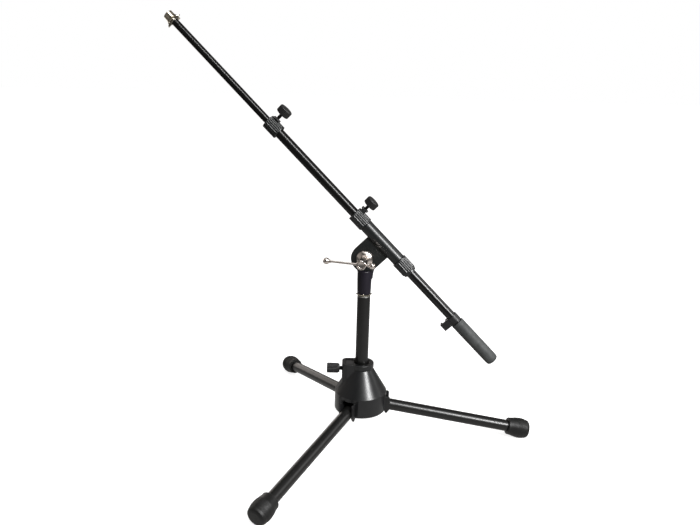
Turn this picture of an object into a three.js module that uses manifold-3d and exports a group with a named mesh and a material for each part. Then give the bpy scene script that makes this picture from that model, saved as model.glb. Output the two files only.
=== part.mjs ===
// A low tripod microphone stand with a telescoping boom, as separate named pieces.
// Millimetres, +Z up. The floor is z = 0 and the boom leans towards -X.
import * as THREE from "three";
import { mergeVertices } from "three/addons/utils/BufferGeometryUtils.js";
import Module from "manifold-3d";

const wasm = await Module();
wasm.setup();

// ---- Driving dimensions ----

const GAP = 0.3; // what pieces that meet face to face keep between them
const AXIS_X = 12.7; // the pole axis, from the middle of the whole stand's box

// Base casting: a ring, a cone and a collar round the pole
const RING_R = 45;
const RING_BOTTOM = 51.8;
const RING_TOP = 86;
const CONE_TOP_R = 19.6;
const COLLAR_R = 21.2;
const COLLAR_BOTTOM = 128.4;
const BASE_TOP = 137.8;
const CAVITY_R = 41;
const NECK_BOTTOM = 110;
const NECK_BORE_R = 13;
const BASE_PLATE_TOP = 55.7;
const POST_REACH = 30; // of the posts that take the base plate's screws
const BOSS_REACH = 33.8;
const BOSS_WIDTH = 33;
const CLAMP_Z = 125.3; // of the base clamp screw

// Legs: each runs down from LEG_ROOT_Z on the pole axis to its foot
const LEG_AZIMUTHS = { front: -120, right: 0, rear: 120 };
const LEG_R = 10;
const LEG_WALL = 1.5;
const LEG_ROOT_Z = 67.4;
const FOOT_REACH = 284.5;
const FOOT_Z = 17.2;
const FOOT_R = 17.6;
const LEG_SLOPE = Math.atan2(LEG_ROOT_Z - FOOT_Z, FOOT_REACH);
const LEG_LENGTH = Math.hypot(LEG_ROOT_Z - FOOT_Z, FOOT_REACH);
const LEG_START = 31; // where the tube begins, along the leg
const HEEL_START = 20.2; // where the leg's hinge end begins
const PIN_REACH = 35;
const PIN_R = 3;
const PIN_Z = LEG_ROOT_Z - PIN_REACH * Math.tan(LEG_SLOPE);
const SLOT_TOP = 80;
const CHEEK_INSIDE = LEG_R + 0.4;
const CHEEK_OUTSIDE = 13.4;

// Pole
const POLE_R = 11;
const POLE_WALL = 1.5;
const POLE_BOTTOM = 60;
const POLE_TOP = 257.5;
const STUD_R = 4.6; // the 3/8 inch thread at the pole's top and the boom's tip
const STAR_R = 13.7;

// Swivel mount and the boom's pivot
const BOOM_YAW = THREE.MathUtils.degToRad(-9.75);
const BOOM_TILT = THREE.MathUtils.degToRad(44.4);
const PIVOT_Z = 323.3;
const SWIVEL_BOTTOM = 262.6;
const SWIVEL_SHOULDER = 303;
const SADDLE_R = 24; // of the hollow the fin turns in
const SWIVEL_DISC_R = 22.5;
const BARREL_R = 12;
const BOLT_R = 3.9;
const BOLT_HOLE_R = 4.3;

// Boom: along its own axis from the pivot, negative towards the tip
const BOOM_OFFSET = 39.5; // from the pivot to the boom's axis
const FIN_R = 23.5;
const FIN_HALF_THICKNESS = 4.5;
const SLEEVE_R = 11;
const SLEEVE_ENDS = [-39.6, 38.7];
const SPIGOT_ENDS = [-52, 51];
const SPIGOT_R = 9.9;
const OUTER_TUBE_R = 8;
const OUTER_TUBE_ENDS = [-256, 188];
const INNER_TUBE_R = 6;
const INNER_TUBE_ENDS = [-480.5, -81];
const TUBE_WALL = 1;
const UPPER_COLLAR_ENDS = [-66.7, -39.9];
const LOWER_COLLAR_ENDS = [39, 67.7];
const HOLDER_COLLAR_R = 12.7;
const BOOM_COLLAR_ENDS = [-269.3, -242.8];
const BOOM_COLLAR_R = 11.9;
const COLLAR_LIP = 2.5;
const HOLDER_KNOB_AT = -59.5;
const BOOM_KNOB_AT = -260.5;
const HOLDER_KNOB_BOTTOM = 25.5; // from the boom's axis
const BOOM_KNOB_BOTTOM = 23.7;
const KNOB_R = 11.3;
const CLAMP_SCREW_R = 2.9;
const SCREW_HOLE_R = 3.3;
const CLIP_ENDS = [166.4, 179.4];
const GRIP_ENDS = [181.2, 270.4];
const GRIP_R = 11;
const ADAPTER_ENDS = [-497, -484.9];
const ADAPTER_R = 7.95; // the 5/8 inch thread

// Clamp bolt and its sliding bar, out along the bolt from the boom's plane
const DISH_R = 14.2;
const DISH_TOP = 11.6;
const BOLT_HEAD_R = 8;
const BOLT_HEAD_END = 46;
const BAR_AT = 41.5;
const BAR_R = 2;
const BAR_TILT = THREE.MathUtils.degToRad(2.5);
const LEFT_BALL_AT = -57;
const RIGHT_BALL_AT = 17.5;

const ROUND = 20; // sides of a tube
const FINE = 36; // sides of the base
const SMALL = 12; // sides of pins, holes and screws

// ---- Materials ----

function material(color, roughness, metalness) {
  return new THREE.MeshStandardMaterial({ color, roughness, metalness });
}

const castBlack = material(0x2a2a2b, 0.5, 0.4);
const tubeBlack = material(0x101011, 0.25, 0.5);
const barrelBlack = material(0x1f1b24, 0.5, 0.2);
const plastic = material(0x17181a, 0.45, 0);
const collarPlastic = material(0x2b2d2d, 0.55, 0);
const rubber = material(0x1a1b1b, 0.8, 0);
const gripRubber = material(0x565a5a, 0.85, 0);
const chrome = material(0xd8d3cf, 0.12, 1);
const nickel = material(0xb9b49a, 0.25, 1);
const zincSteel = material(0x8b8d90, 0.35, 1);
const blackSteel = material(0x1c1c1d, 0.4, 1);
const fibre = material(0x3a3632, 0.9, 0);

// ---- Shapes ----

// A turned solid about Z from [radius, height] pairs, counted round the section anticlockwise.
function turned(profile, sides = ROUND) {
  const points = profile.map(([radius, height]) => new THREE.Vector2(radius, height));
  return new THREE.LatheGeometry(points, sides).rotateX(Math.PI / 2);
}

function rod(radius, from, to, sides = SMALL) {
  return turned([[0, from], [radius, from], [radius, to], [0, to]], sides);
}

function pipe(outer, inner, from, to, sides = ROUND) {
  return turned([[inner, from], [outer, from], [outer, to], [inner, to], [inner, from]], sides);
}

// A box from its lowest corner to its highest.
function block(low, high) {
  const size = high.map((value, i) => value - low[i]);
  return new THREE.BoxGeometry(...size).translate(...low.map((value, i) => value + size[i] / 2));
}

// An outline in the X-Z plane made into a plate; from and to are distances towards -Y.
function plate(shape, from, to, curveSegments = 12) {
  const options = { depth: to - from, bevelEnabled: false, curveSegments };
  return new THREE.ExtrudeGeometry(shape, options).translate(0, 0, from).rotateX(Math.PI / 2);
}

// What was built along Z, laid along X or towards -Y.
const alongX = (geometry) => geometry.rotateY(Math.PI / 2);
const towardsFront = (geometry) => geometry.rotateX(Math.PI / 2);

// A round outline with waves, as on a ribbed collar or a lobed nut.
function wavyOutline(radius, depth, waves, pointsPerWave = 4) {
  const count = waves * pointsPerWave;
  const points = Array.from({ length: count }, (_, i) => {
    const angle = (2 * Math.PI * i) / count;
    const r = radius - (depth / 2) * (1 - Math.cos(waves * angle));
    return new THREE.Vector2(r * Math.cos(angle), r * Math.sin(angle));
  });
  return new THREE.Shape(points);
}

function wavyPrism(radius, depth, waves, from, to, pointsPerWave) {
  const outline = wavyOutline(radius, depth, waves, pointsPerWave);
  const options = { depth: to - from, bevelEnabled: false };
  return new THREE.ExtrudeGeometry(outline, options).translate(0, 0, from);
}

function toSolid(geometry) {
  const bare = geometry.clone();
  bare.deleteAttribute("normal");
  bare.deleteAttribute("uv");
  const merged = mergeVertices(bare, 1e-4);
  const vertProperties = merged.attributes.position.array;
  const triVerts = new Uint32Array(merged.index.array);
  return new wasm.Manifold(new wasm.Mesh({ numProp: 3, vertProperties, triVerts }));
}

function toGeometry(solid) {
  const { vertProperties, triVerts } = solid.getMesh();
  const geometry = new THREE.BufferGeometry();
  geometry.setAttribute("position", new THREE.BufferAttribute(vertProperties, 3));
  geometry.setIndex(new THREE.BufferAttribute(triVerts, 1));
  geometry.computeVertexNormals();
  return geometry;
}

function join(...geometries) {
  return toGeometry(geometries.map(toSolid).reduce((all, next) => all.add(next)));
}

function cut(geometry, ...tools) {
  return toGeometry(tools.map(toSolid).reduce((left, tool) => left.subtract(tool), toSolid(geometry)));
}

function common(geometry, other) {
  return toGeometry(toSolid(geometry).intersect(toSolid(other)));
}

function group(parent, { x = 0, y = 0, z = 0, turnY = 0, turnZ = 0 } = {}) {
  const made = new THREE.Group();
  made.position.set(x, y, z);
  made.rotation.set(0, turnY, turnZ);
  parent.add(made);
  return made;
}

function add(parent, name, geometry, meshMaterial) {
  const mesh = new THREE.Mesh(geometry, meshMaterial);
  mesh.name = name;
  parent.add(mesh);
}

// One copy of a geometry for each leg, turned to that leg's azimuth.
function forEachLeg(make) {
  return Object.values(LEG_AZIMUTHS).map((degrees) =>
    make().rotateZ(THREE.MathUtils.degToRad(degrees)),
  );
}

// ---- Base ----

function baseOutside() {
  const profile = [
    [0, RING_BOTTOM],
    [RING_R - 2, RING_BOTTOM],
    [RING_R, RING_BOTTOM + 2.5],
    [RING_R, RING_TOP],
    [CONE_TOP_R, COLLAR_BOTTOM],
    [COLLAR_R, COLLAR_BOTTOM + 1.5],
    [COLLAR_R, BASE_TOP - 1.2],
    [COLLAR_R - 1.2, BASE_TOP],
    [0, BASE_TOP],
  ];
  const corner = 5;
  const half = BOSS_WIDTH / 2;
  const outline = new THREE.Shape();
  outline.moveTo(0, -half);
  outline.lineTo(0, half);
  outline.lineTo(corner - BOSS_REACH, half);
  outline.absarc(corner - BOSS_REACH, half - corner, corner, Math.PI / 2, Math.PI, false);
  outline.absarc(corner - BOSS_REACH, corner - half, corner, Math.PI, 1.5 * Math.PI, false);
  const bossBottom = 96;
  const options = { depth: BASE_TOP - bossBottom, bevelEnabled: false, curveSegments: 4 };
  const boss = new THREE.ExtrudeGeometry(outline, options).translate(0, 0, bossBottom);
  return join(turned(profile, FINE), boss);
}

function hingePinTool(radius, halfLength) {
  return towardsFront(rod(radius, -halfLength, halfLength)).translate(PIN_REACH, 0, PIN_Z);
}

function screwPosts(radius, from, to) {
  return forEachLeg(() => rod(radius, from, to).translate(-POST_REACH, 0, 0));
}

function baseCasting() {
  const outside = baseOutside();
  const cavity = turned(
    [
      [0, RING_BOTTOM - 1],
      [CAVITY_R, RING_BOTTOM - 1],
      [CAVITY_R, RING_TOP - 3],
      [24, NECK_BOTTOM],
      [0, NECK_BOTTOM],
    ],
    FINE,
  );
  const ribBottom = BASE_PLATE_TOP + GAP;
  const rib = { inside: CHEEK_OUTSIDE + GAP, outside: CHEEK_OUTSIDE + 5.3, from: 24, to: 44, top: 84 };
  const ribs = [-1, 1].flatMap((side) =>
    forEachLeg(() =>
      side > 0
        ? block([rib.from, rib.inside, ribBottom], [rib.to, rib.outside, rib.top])
        : block([rib.from, -rib.outside, ribBottom], [rib.to, -rib.inside, rib.top]),
    ),
  );
  const inside = common(join(...ribs, ...screwPosts(4.5, ribBottom, 100)), outside);
  const shell = join(cut(outside, cavity), inside);
  const slots = forEachLeg(() =>
    block([18, -rib.inside, RING_BOTTOM - 5], [RING_R + 10, rib.inside, SLOT_TOP]),
  );
  const pocket = block([-28, -9, 118], [-14.6, 9, BASE_TOP + 1]);
  const screwHole = alongX(rod(BOLT_HOLE_R, -BOSS_REACH - 1, -NECK_BORE_R + 1)).translate(0, 0, CLAMP_Z);
  return cut(
    shell,
    ...slots,
    rod(NECK_BORE_R, NECK_BOTTOM - 1, BASE_TOP + 1, FINE),
    rod(15.3, BASE_TOP - 1.5, BASE_TOP + 1, FINE),
    pocket,
    screwHole,
    ...forEachLeg(() => hingePinTool(PIN_R + GAP, 20)),
    ...screwPosts(1.9, ribBottom - 1, 74),
  );
}

function basePlate() {
  const notches = forEachLeg(() => block([18.6, -14, 50], [50, 14, 60]));
  return cut(
    rod(CAVITY_R - 0.4, RING_BOTTOM + 0.4, BASE_PLATE_TOP, FINE),
    ...notches,
    ...screwPosts(2.2, 50, 60),
    ...screwPosts(4.3, 50, RING_BOTTOM + 2.4),
  );
}

function basePlateScrew() {
  const head = RING_BOTTOM + 0.5;
  const neck = head + 1.6;
  return turned([[0, head], [3.9, head], [3.9, neck], [1.6, neck], [1.6, 70], [0, 70]], SMALL);
}

function poleBush() {
  const flangeBottom = BASE_TOP - 1.2;
  return turned([
    [POLE_R + 0.35, NECK_BOTTOM + 0.5],
    [NECK_BORE_R - GAP, NECK_BOTTOM + 0.5],
    [NECK_BORE_R - GAP, flangeBottom],
    [14.9, flangeBottom],
    [14.9, BASE_TOP],
    [POLE_R + 0.35, BASE_TOP],
    [POLE_R + 0.35, NECK_BOTTOM + 0.5],
  ]);
}

function clampNutBlock() {
  const nut = block([-27.7, -8.7, 118.3], [-14.9, 8.7, BASE_TOP - 1]);
  return cut(nut, alongX(rod(BOLT_HOLE_R, -30, -12)).translate(0, 0, CLAMP_Z));
}

function legBracket() {
  const cheek = new THREE.Shape();
  cheek.moveTo(19, 52.2);
  cheek.lineTo(41, 52.2);
  cheek.lineTo(44, 47.5);
  cheek.lineTo(46.5, 47.5);
  cheek.lineTo(51, 54);
  cheek.absarc(48.5, 75.5, 2.5, 0, Math.PI / 2, false);
  cheek.lineTo(44, 78);
  cheek.lineTo(43, SLOT_TOP - GAP);
  cheek.lineTo(19, SLOT_TOP - GAP);
  const web = block([19, -CHEEK_INSIDE - 1, 52.2], [25, CHEEK_INSIDE + 1, 55.6]);
  const left = plate(cheek, CHEEK_INSIDE, CHEEK_OUTSIDE, 6);
  const right = plate(cheek, -CHEEK_OUTSIDE, -CHEEK_INSIDE, 6);
  return cut(join(left, right, web), hingePinTool(PIN_R + GAP, 20));
}

function baseKnob() {
  const head = wavyPrism(8.65, 0.9, 12, 37.9, 59.8, 2);
  return cut(head, rod(4.1, 30, 52)).rotateY(-Math.PI / 2);
}

function baseClampScrew() {
  return rod(BOLT_R - 0.1, 16.3, 51.7).rotateY(-Math.PI / 2);
}

function buildBase(stand) {
  add(stand, "base_casting", baseCasting(), castBlack);
  add(stand, "base_plate", basePlate(), castBlack);
  add(stand, "pole_bush", poleBush(), plastic);
  add(stand, "base_clamp_nut", clampNutBlock(), blackSteel);
  const pad = rod(BOLT_R, NECK_BORE_R + 0.1, 16).rotateY(-Math.PI / 2);
  const clampAxis = group(stand, { z: CLAMP_Z });
  add(clampAxis, "base_pressure_pad", pad, plastic);
  add(clampAxis, "base_clamp_screw", baseClampScrew(), blackSteel);
  add(clampAxis, "base_knob", baseKnob(), plastic);
  for (const [name, degrees] of Object.entries(LEG_AZIMUTHS)) {
    const spoke = group(stand, { turnZ: THREE.MathUtils.degToRad(degrees) });
    add(spoke, `leg_bracket_${name}`, legBracket(), plastic);
    add(spoke, `leg_pin_${name}`, hingePinTool(PIN_R, 18), zincSteel);
    const screw = group(spoke, { x: -POST_REACH });
    add(screw, `base_plate_screw_${name}`, basePlateScrew(), zincSteel);
  }
}

// ---- Legs ----

function legTube() {
  const end = LEG_LENGTH + 4;
  const hole = towardsFront(rod(PIN_R + 0.6, -15, 15)).translate(PIN_REACH / Math.cos(LEG_SLOPE), 0, 0);
  return cut(alongX(pipe(LEG_R, LEG_R - LEG_WALL, LEG_START, end)), hole);
}

// The plug in the tube's inner end, with the heel that stops the leg on the bracket's web.
function legEnd() {
  const heelEnd = LEG_START - GAP;
  const heel = block([HEEL_START, -8.5, -7], [heelEnd, 8.5, 7]);
  const trimmedHeel = common(heel, alongX(rod(9.6, HEEL_START - 1, heelEnd + 1, ROUND)));
  const plug = alongX(rod(LEG_R - LEG_WALL - GAP, heelEnd - 1, 60, ROUND));
  const hole = towardsFront(rod(PIN_R + GAP, -15, 15)).translate(PIN_REACH / Math.cos(LEG_SLOPE), 0, 0);
  return cut(join(trimmedHeel, plug), hole);
}

// A blind rubber cap, swollen round the tube's end and worn flat where it stands.
function foot() {
  const boreEnd = LEG_LENGTH + 4.5;
  const outline = [
    [-22, 15],
    [-19.5, 14.8],
    [-14, 15.6],
    [-8, 16.9],
    [-2, FOOT_R],
    [4, 17.3],
    [10, 16],
    [14.5, 13.8],
    [16.3, 11.5],
  ];
  const profile = [
    [0, boreEnd],
    [LEG_R + GAP, boreEnd],
    [LEG_R + GAP, LEG_LENGTH - 22],
    ...outline.map(([along, radius]) => [radius, LEG_LENGTH + along]),
    [0, LEG_LENGTH + 16.3],
  ];
  const floor = block([200, -40, -30], [340, 40, 0]);
  floor.translate(0, 0, -LEG_ROOT_Z).rotateY(-LEG_SLOPE);
  return cut(alongX(turned(profile)), floor);
}

function buildLegs(stand) {
  for (const [name, degrees] of Object.entries(LEG_AZIMUTHS)) {
    const spoke = group(stand, { z: LEG_ROOT_Z, turnZ: THREE.MathUtils.degToRad(degrees) });
    const leg = group(spoke, { turnY: LEG_SLOPE });
    add(leg, `leg_tube_${name}`, legTube(), tubeBlack);
    add(leg, `leg_end_${name}`, legEnd(), plastic);
    add(leg, `foot_${name}`, foot(), rubber);
  }
}

// ---- Pole ----

function poleFootPlug() {
  const bottom = BASE_PLATE_TOP + GAP;
  const flangeTop = POLE_BOTTOM - GAP;
  const plugR = POLE_R - POLE_WALL - GAP;
  return turned([[0, bottom], [15, bottom], [15, flangeTop], [plugR, flangeTop], [plugR, 82], [0, 82]]);
}

function poleStud() {
  const plugR = POLE_R - POLE_WALL - GAP;
  return turned(
    [
      [0, 238],
      [plugR, 238],
      [plugR, POLE_TOP + GAP],
      [POLE_R, POLE_TOP + GAP],
      [POLE_R, 259.2],
      [STUD_R, 259.2],
      [STUD_R, 279],
      [0, 279],
    ],
  );
}

function starNut(from, to) {
  return cut(wavyPrism(STAR_R, 3.6, 6, from, to, 4), rod(STUD_R + 0.4, from - 1, to + 1));
}

function buildPole(stand) {
  add(stand, "pole_foot_plug", poleFootPlug(), plastic);
  add(stand, "pole_tube", pipe(POLE_R, POLE_R - POLE_WALL, POLE_BOTTOM, POLE_TOP), tubeBlack);
  add(stand, "pole_stud", poleStud(), zincSteel);
  add(stand, "pole_star_nut", starNut(259.7, 262.1), nickel);
}

// ---- Swivel mount and clamp bolt, in a frame turned with the boom ----

function swivelMount() {
  const boreR = STUD_R + 0.6;
  const barrel = turned([
    [0, 281.5],
    [boreR, 281.5],
    [boreR, SWIVEL_BOTTOM],
    [BARREL_R - 0.9, SWIVEL_BOTTOM],
    [BARREL_R - 0.5, SWIVEL_BOTTOM + 2.5],
    [BARREL_R, 291],
    [BARREL_R, SWIVEL_SHOULDER],
    [0, SWIVEL_SHOULDER],
  ]);
  const saddle = towardsFront(rod(SADDLE_R, -5.9, 5.2, FINE)).translate(0, 0, PIVOT_Z);
  const meet = { angle: THREE.MathUtils.degToRad(210) };
  meet.x = SWIVEL_DISC_R * Math.cos(meet.angle);
  meet.z = PIVOT_Z + SWIVEL_DISC_R * Math.sin(meet.angle);
  const outline = new THREE.Shape();
  outline.moveTo(-BARREL_R, 286);
  outline.quadraticCurveTo(-BARREL_R, 300, meet.x, meet.z);
  outline.absarc(0, PIVOT_Z, SWIVEL_DISC_R, meet.angle, Math.PI - meet.angle, true);
  outline.quadraticCurveTo(BARREL_R, 300, BARREL_R, 286);
  const disc = plate(outline, -17, -6, 10);
  const boltHole = towardsFront(rod(BOLT_HOLE_R, -20, 0)).translate(0, 0, PIVOT_Z);
  return cut(join(barrel, disc), saddle, boltHole);
}

// A hexagonal nut with a closed dome over the end of the bolt.
function domeNut() {
  const body = turned([[0, -27], [4, -26.5], [6.2, -24], [7.5, -23], [7.5, -17.3], [0, -17.3]], 6);
  return towardsFront(cut(body, rod(BOLT_HOLE_R, -24, -16)));
}

function dishWasher() {
  return towardsFront(
    turned([
      [BOLT_HOLE_R, 4.8],
      [DISH_R - 1, 4.8],
      [DISH_R, 5.4],
      [DISH_R - 0.6, 7],
      [12, 9],
      [9.4, 10.9],
      [7.5, DISH_TOP],
      [BOLT_HOLE_R, DISH_TOP],
      [BOLT_HOLE_R, 4.8],
    ]),
  );
}

// The bolt's long round head is dished at its end and cross-drilled for the bar.
function clampBolt() {
  const head = DISH_TOP + GAP;
  const body = turned([
    [0, -23],
    [BOLT_R, -23],
    [BOLT_R, head],
    [BOLT_HEAD_R, head],
    [BOLT_HEAD_R, BOLT_HEAD_END - 1],
    [BOLT_HEAD_R - 1, BOLT_HEAD_END],
    [5.4, BOLT_HEAD_END],
    [4, BOLT_HEAD_END - 1.4],
    [0, BOLT_HEAD_END - 1.8],
  ]);
  const barHole = alongX(rod(BAR_R + 0.25, -15, 15)).rotateY(BAR_TILT);
  return cut(towardsFront(body), barHole.translate(0, -BAR_AT, 0));
}

function barBall(radius, at, neckRadius, towardsMiddle) {
  const ball = new THREE.SphereGeometry(radius, SMALL, 8).translate(at, 0, 0);
  const neckEnd = at + towardsMiddle * (radius + 1.8);
  const between = (a, b) => [Math.min(a, b), Math.max(a, b)];
  const neck = alongX(rod(neckRadius, ...between(at, neckEnd)));
  const bore = alongX(rod(BAR_R + 0.15, ...between(at, neckEnd + towardsMiddle)));
  return cut(join(ball, neck), bore);
}

function buildSwivel(stand) {
  const swivel = group(stand, { turnZ: BOOM_YAW });
  add(swivel, "swivel_mount", swivelMount(), barrelBlack);
  const pivot = group(swivel, { z: PIVOT_Z });
  add(pivot, "friction_washer", towardsFront(pipe(20, BOLT_HOLE_R, -5.7, -4.8)), fibre);
  add(pivot, "bolt_dome_nut", domeNut(), chrome);
  add(pivot, "dish_washer", dishWasher(), chrome);
  add(pivot, "clamp_bolt", clampBolt(), chrome);
  const bar = group(pivot, { y: -BAR_AT, turnY: BAR_TILT });
  add(bar, "clamp_bar", alongX(rod(BAR_R, LEFT_BALL_AT + 0.3, RIGHT_BALL_AT - 0.3)), chrome);
  add(bar, "bar_ball_left", barBall(5.6, LEFT_BALL_AT, 2.9, 1), chrome);
  add(bar, "bar_ball_right", barBall(5.2, RIGHT_BALL_AT, 3.1, -1), chrome);
  return pivot;
}

// ---- Boom, in a frame with X along it and its axis at BOOM_OFFSET ----

function boomHolder() {
  const fin = new THREE.Shape();
  fin.absarc(0, 0, FIN_R, Math.PI, 2 * Math.PI, false);
  fin.lineTo(FIN_R, BOOM_OFFSET - 5);
  fin.lineTo(-FIN_R, BOOM_OFFSET - 5);
  const sleeve = alongX(rod(SLEEVE_R, ...SLEEVE_ENDS, ROUND)).translate(0, 0, BOOM_OFFSET);
  const spigots = alongX(rod(SPIGOT_R, ...SPIGOT_ENDS, ROUND)).translate(0, 0, BOOM_OFFSET);
  const bore = alongX(rod(OUTER_TUBE_R + 0.45, -60, 60, ROUND)).translate(0, 0, BOOM_OFFSET);
  const boltHole = towardsFront(rod(BOLT_HOLE_R, -10, 10));
  const finPlate = plate(fin, -FIN_HALF_THICKNESS, FIN_HALF_THICKNESS, 14);
  return cut(join(finPlate, sleeve, spigots), bore, boltHole);
}

// A ribbed collar along X, bored to boreR from its lip to its open end, which faces +X unless flipped.
function ribbedCollar(radius, [from, to], boreR, lipBoreR, flipped = false) {
  const body = alongX(wavyPrism(radius, 0.8, 20, from, to, 2));
  const bore = flipped ? [from - 1, to - COLLAR_LIP] : [from + COLLAR_LIP, to + 1];
  return cut(body, alongX(rod(boreR, ...bore, ROUND)), alongX(rod(lipBoreR, from - 1, to + 1, ROUND)));
}

function knobScrewHole(at) {
  return rod(SCREW_HOLE_R, 0, 30).translate(at, 0, 0);
}

function upperCollar() {
  const bore = SPIGOT_R + GAP;
  const collar = ribbedCollar(HOLDER_COLLAR_R, UPPER_COLLAR_ENDS, bore, OUTER_TUBE_R + 0.6);
  const screwBoss = block([HOLDER_KNOB_AT - 4.6, -5, 11], [HOLDER_KNOB_AT + 4.6, 5, 15.7]);
  return cut(join(collar, screwBoss), knobScrewHole(HOLDER_KNOB_AT));
}

function lowerCollar() {
  const [from, to] = LOWER_COLLAR_ENDS;
  const step = to - 3.2;
  const bore = SPIGOT_R + GAP;
  const body = ribbedCollar(HOLDER_COLLAR_R, [from, step], bore, OUTER_TUBE_R + 0.6, true);
  return join(body, alongX(pipe(SLEEVE_R + 0.3, OUTER_TUBE_R + 0.6, step - 1, to)));
}

function boomCollar() {
  const collar = ribbedCollar(BOOM_COLLAR_R, BOOM_COLLAR_ENDS, OUTER_TUBE_R + GAP, INNER_TUBE_R + 0.6);
  return cut(collar, knobScrewHole(BOOM_KNOB_AT));
}

function tubeBush(outer, inner, from, to) {
  return alongX(pipe(outer, inner, from, to));
}

function nutPlate(at, width, from, to) {
  const half = 6.3;
  return cut(block([at - half, -width / 2, from], [at + half, width / 2, to]), knobScrewHole(at));
}

function clampKnob(bottom) {
  return turned([
    [0, bottom + 7.5],
    [SCREW_HOLE_R, bottom + 7.5],
    [SCREW_HOLE_R, bottom],
    [5, bottom],
    [10.4, bottom + 0.4],
    [KNOB_R, bottom + 1.3],
    [KNOB_R, bottom + 11],
    [10.4, bottom + 12.1],
    [6, bottom + 12.8],
    [0, bottom + 13],
  ]);
}

// The knob's screw, from a height above the boom's axis into the knob.
function clampScrew(from, knobBottom) {
  return rod(CLAMP_SCREW_R, from, knobBottom + 7.2);
}

function counterweight() {
  const tubeEnd = OUTER_TUBE_ENDS[1] + GAP;
  const plugR = OUTER_TUBE_R - TUBE_WALL - GAP;
  return alongX(
    turned([[0, 165], [plugR, 165], [plugR, tubeEnd], [8.6, tubeEnd], [8.6, 267], [0, 267]]),
  );
}

function counterweightGrip() {
  const [from, to] = GRIP_ENDS;
  return alongX(
    turned([
      [0, 267.4],
      [8.9, 267.4],
      [8.9, from],
      [GRIP_R - 0.6, from],
      [GRIP_R, from + 1.2],
      [GRIP_R - 0.3, to - 5],
      [GRIP_R - 1.2, to - 1.6],
      [GRIP_R - 3.4, to],
      [0, to],
    ]),
  );
}

// A ring on the tube with a block under it, cut by a channel for the cable that opens backwards.
function cableClip() {
  const [from, to] = CLIP_ENDS;
  const ring = alongX(pipe(OUTER_TUBE_R + 1.6, OUTER_TUBE_R + 0.25, from, to));
  const holder = block([from, -6.5, -23.5], [to, 6.5, -8]);
  const channel = block([from - 1, -2.8, -20.9], [to + 1, 8, -12.9]);
  const tubeBore = alongX(rod(OUTER_TUBE_R + 0.25, from - 1, to + 1, ROUND));
  return cut(join(ring, cut(holder, tubeBore)), channel);
}

function innerTubeGuide() {
  const end = INNER_TUBE_ENDS[1] + GAP;
  const plugR = INNER_TUBE_R - TUBE_WALL - GAP;
  return alongX(
    turned([[0, end - 12], [plugR, end - 12], [plugR, end], [6.7, end], [6.7, end + 6], [0, end + 6]]),
  );
}

function tipStud() {
  const tubeEnd = INNER_TUBE_ENDS[0] - GAP;
  return alongX(
    turned(
      [
        [0, -494.5],
        [STUD_R, -494.5],
        [STUD_R, tubeEnd - 1.2],
        [INNER_TUBE_R, tubeEnd - 1.2],
        [INNER_TUBE_R, tubeEnd],
        [STUD_R, tubeEnd],
        [STUD_R, -462],
        [0, -462],
      ],
      SMALL,
    ),
  );
}

function threadAdapter() {
  const [from, to] = ADAPTER_ENDS;
  const bore = STUD_R + 0.35;
  return alongX(
    turned([
      [bore, from],
      [ADAPTER_R - 0.6, from],
      [ADAPTER_R, from + 0.8],
      [ADAPTER_R, to - 3],
      [8.8, to - 3],
      [8.8, to],
      [bore, to],
      [bore, from],
    ]),
  );
}

function buildBoom(pivot) {
  const tilted = group(pivot, { turnY: BOOM_TILT });
  add(tilted, "boom_holder", boomHolder(), castBlack);
  const boom = group(tilted, { z: BOOM_OFFSET });

  const bushOuter = SPIGOT_R;
  const bushInner = OUTER_TUBE_R + 0.45;
  const upperBush = [UPPER_COLLAR_ENDS[0] + COLLAR_LIP + GAP, SPIGOT_ENDS[0] - GAP];
  const lowerBush = [SPIGOT_ENDS[1] + GAP, LOWER_COLLAR_ENDS[1] - 6];
  add(boom, "upper_collar", upperCollar(), collarPlastic);
  add(boom, "upper_bush", tubeBush(bushOuter, bushInner, ...upperBush), plastic);
  add(boom, "lower_collar", lowerCollar(), collarPlastic);
  add(boom, "lower_bush", tubeBush(bushOuter, bushInner, ...lowerBush), plastic);
  add(boom, "holder_nut_plate", nutPlate(HOLDER_KNOB_AT, 11, 16, 18.2), blackSteel);

  const holderKnob = group(boom, { x: HOLDER_KNOB_AT });
  add(holderKnob, "holder_knob", clampKnob(HOLDER_KNOB_BOTTOM), plastic);
  add(holderKnob, "holder_clamp_screw", clampScrew(bushOuter + GAP, HOLDER_KNOB_BOTTOM), blackSteel);

  const outerBore = OUTER_TUBE_R - TUBE_WALL;
  const boomBush = [BOOM_COLLAR_ENDS[0] + COLLAR_LIP + GAP, OUTER_TUBE_ENDS[0] - GAP];
  add(boom, "boom_outer_tube", alongX(pipe(OUTER_TUBE_R, outerBore, ...OUTER_TUBE_ENDS)), tubeBlack);
  add(boom, "boom_collar", boomCollar(), collarPlastic);
  add(boom, "boom_bush", tubeBush(OUTER_TUBE_R, INNER_TUBE_R + 0.35, ...boomBush), plastic);
  add(boom, "boom_nut_plate", nutPlate(BOOM_KNOB_AT, 9.5, 12.2, 13.8), blackSteel);
  add(boom, "counterweight", counterweight(), zincSteel);
  add(boom, "counterweight_grip", counterweightGrip(), gripRubber);
  add(boom, "cable_clip", cableClip(), plastic);

  const boomKnob = group(boom, { x: BOOM_KNOB_AT });
  add(boomKnob, "boom_knob", clampKnob(BOOM_KNOB_BOTTOM), plastic);
  add(boomKnob, "boom_clamp_screw", clampScrew(OUTER_TUBE_R + GAP, BOOM_KNOB_BOTTOM), blackSteel);

  const innerBore = INNER_TUBE_R - TUBE_WALL;
  add(boom, "boom_inner_tube", alongX(pipe(INNER_TUBE_R, innerBore, ...INNER_TUBE_ENDS)), tubeBlack);
  add(boom, "inner_tube_guide", innerTubeGuide(), plastic);
  add(boom, "tip_stud", tipStud(), zincSteel);
  add(boom, "tip_star_nut", alongX(starNut(-484.6, -482.3)), nickel);
  add(boom, "thread_adapter", threadAdapter(), nickel);
}

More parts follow.
